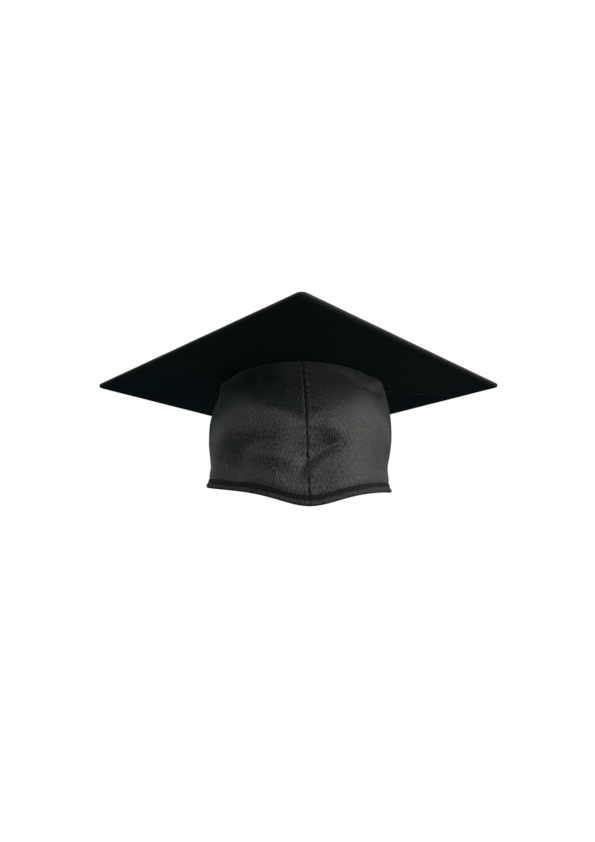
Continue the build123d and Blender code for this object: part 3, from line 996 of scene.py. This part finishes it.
# --------------------------------------------------------------------------- camera and light
def camera():
    """The camera below the front corner, looking a little up at the cap."""
    data = bpy.data.cameras.new("camera")
    data.lens, data.sensor_width = 27.83, 36.0
    data.clip_start, data.clip_end = 0.01, 50
    eye = bpy.data.objects.new("camera", data)
    bpy.context.scene.collection.objects.link(eye)
    ahead = Vector((0.00855, 0.96045, 0.27831)).normalized()
    right = Vector((0.99996, -0.00775, -0.00396)).normalized()
    turn = Matrix((right, right.cross(ahead).normalized(), -ahead)).transposed().to_4x4()
    eye.matrix_world = Matrix.Translation((-0.00607, -0.5289, -0.0664)) @ turn
    bpy.context.scene.camera = eye


def area_light(name, azimuth, elevation, distance, size, power, colour):
    """A soft light aimed at the crown. Azimuth 0 is the front, positive towards +X."""
    data = bpy.data.lights.new(name, "AREA")
    data.shape, data.size = "DISK", size
    data.energy, data.color = power, colour
    lamp = bpy.data.objects.new(name, data)
    bpy.context.scene.collection.objects.link(lamp)
    a, e = math.radians(azimuth), math.radians(elevation)
    away = Vector((math.sin(a) * math.cos(e), -math.cos(a) * math.cos(e), math.sin(e)))
    lamp.location = Vector((0, 0, 0.08)) + away * distance
    lamp.rotation_mode = "QUATERNION"
    lamp.rotation_quaternion = away.to_track_quat("Z", "Y")


def surroundings():
    """White behind the cap; to the cloth itself, a dim room that is darkest below."""
    world = bpy.data.worlds.new("studio")
    bpy.context.scene.world = world
    world.use_nodes = True
    tree = world.node_tree
    tree.nodes.clear()
    output = tree.nodes.new("ShaderNodeOutputWorld")
    white = add(tree, "ShaderNodeBackground", {"Color": (1, 1, 1, 1), "Strength": 1.0})
    room = add(tree, "ShaderNodeBackground", {"Strength": 0.08})
    coords = tree.nodes.new("ShaderNodeTexCoord")
    split = tree.nodes.new("ShaderNodeSeparateXYZ")
    tree.links.new(coords.outputs["Generated"], split.inputs[0])
    height = add(tree, "ShaderNodeMapRange", {"From Min": -1.0, "From Max": 1.0})
    tree.links.new(split.outputs["Z"], height.inputs["Value"])
    below, level, above = (0.2, 0.42, 0.45), (0.45, 0.5, 0.52), (1, 1, 1)
    tint = ramp(tree, height.outputs[0], [(0.42, below), (0.55, level), (0.8, above)])
    tree.links.new(tint, room.inputs["Color"])
    path = tree.nodes.new("ShaderNodeLightPath")
    mix = tree.nodes.new("ShaderNodeMixShader")
    tree.links.new(path.outputs["Is Camera Ray"], mix.inputs[0])
    tree.links.new(room.outputs[0], mix.inputs[1])
    tree.links.new(white.outputs[0], mix.inputs[2])
    tree.links.new(mix.outputs[0], output.inputs[0])


def floor():
    """A white floor that reaches to the horizon and casts no light back on the cap."""
    mesh = bpy.data.meshes.new("floor")
    reach, level = 150.0, -0.42
    corners = ((-reach, -reach), (reach, -reach), (reach, reach), (-reach, reach))
    mesh.from_pydata([(x, y, level) for x, y in corners], [], [(0, 1, 2, 3)])
    ground = bpy.data.objects.new("floor", mesh)
    bpy.context.scene.collection.objects.link(ground)
    material, _, shader = node_tree("pale_floor")
    shader.inputs["Base Color"].default_value = (0.9, 0.9, 0.9, 1)
    shader.inputs["Roughness"].default_value = 0.9
    shader.inputs["Emission Color"].default_value = (1, 1, 1, 1)
    shader.inputs["Emission Strength"].default_value = 0.95
    mesh.materials.append(material)
    ground.visible_diffuse = False
    ground.visible_glossy = False


LIGHTS = (
    # name, azimuth, elevation, distance, size, power, colour
    ("key", -1, 32, 1.7, 0.12, 6.5, (1.0, 0.97, 0.92)),
    ("right_key", 84, 24, 1.6, 0.5, 5.0, (1.0, 0.97, 0.92)),
    ("left_fill", -76, 26, 1.6, 0.5, 1.6, (0.98, 0.99, 1.0)),
    ("front_fill", -4, 0, 1.7, 0.10, 2.1, (0.72, 1.0, 0.97)),
    ("low_right", 68, 2.5, 1.7, 0.24, 6.4, (1.0, 0.99, 0.95)),
    ("back", 190, 35, 1.8, 0.9, 12, (1.0, 0.98, 0.96)),
)

build_board()
build_crown()
build_trim()
build_stitches()
build_button()
dress_cad()
camera()
for settings in LIGHTS:
    area_light(*settings)
surroundings()
floor()
bpy.context.scene.view_settings.view_transform = "Standard"
